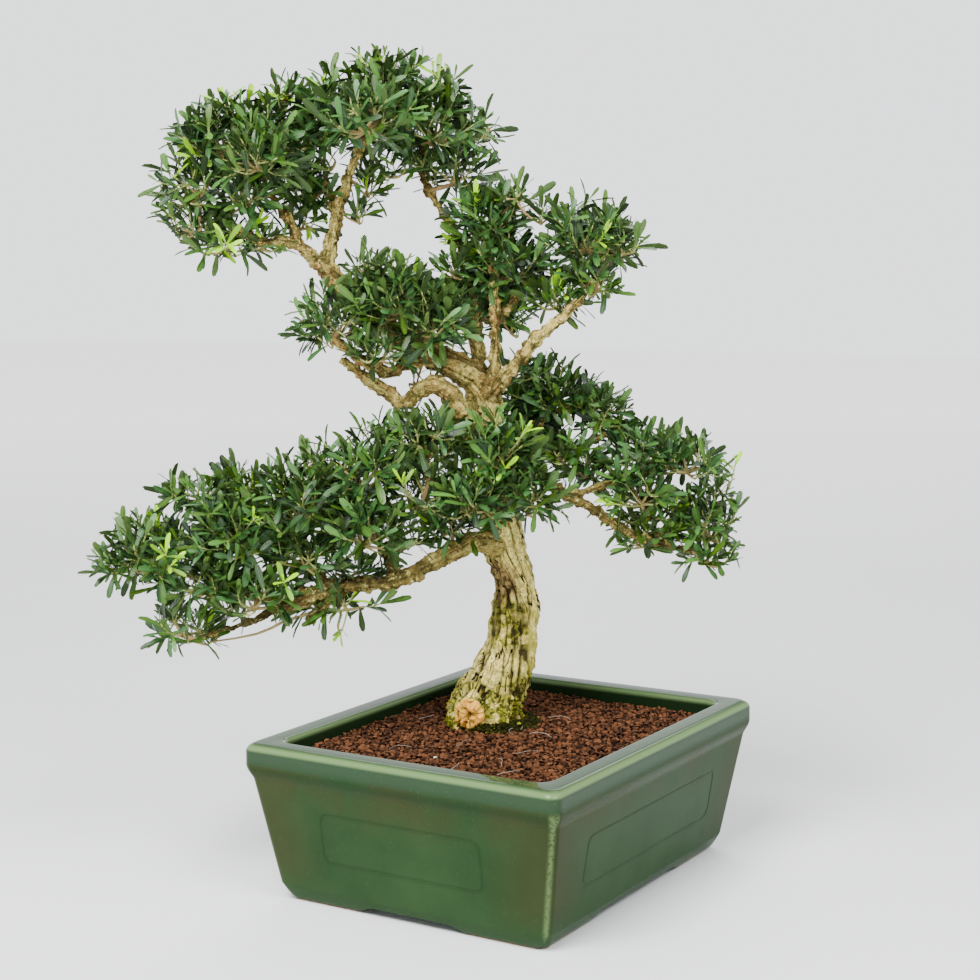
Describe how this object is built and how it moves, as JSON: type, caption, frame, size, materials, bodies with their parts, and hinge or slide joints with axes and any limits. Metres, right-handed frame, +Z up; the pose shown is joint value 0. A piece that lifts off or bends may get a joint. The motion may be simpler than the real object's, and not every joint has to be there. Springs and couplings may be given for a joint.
{
  "type": "boxwood bonsai in a pot",
  "caption": "Informal upright boxwood bonsai with furrowed trunk, layered heads of small narrow leaves and a green glazed rectangular pot of granular soil, for display on a flat surface.",
  "frame": {"origin": "middle of the whole bonsai's footprint box, on the surface that the pot stands on", "axes": "+Z up, X along the pot's short side, Y along its long side; the tree's front view looks from between +X and -Y"},
  "size_m": [0.3446, 0.2982, 0.5196],
  "materials": {
    "glaze": "gloss",
    "mesh_plastic": "matte",
    "soil": "matte",
    "bark": "matte",
    "leaf": "satin"
  },
  "bodies": {
    "root": {"pot": "glaze", "drain_mesh_front": "mesh_plastic", "drain_mesh_back": "mesh_plastic", "soil": "soil", "wood": "bark", "leaves_crown_left": "leaf", "leaves_crown_right": "leaf", "leaves_middle_left": "leaf", "leaves_centre": "leaf", "leaves_right_high": "leaf", "leaves_right_middle": "leaf", "leaves_right_low": "leaf", "leaves_front": "leaf", "leaves_left_near": "leaf", "leaves_left_far": "leaf", "leaves_back_low": "leaf", "leaves_back_high": "leaf"}
  },
  "joints": []
}
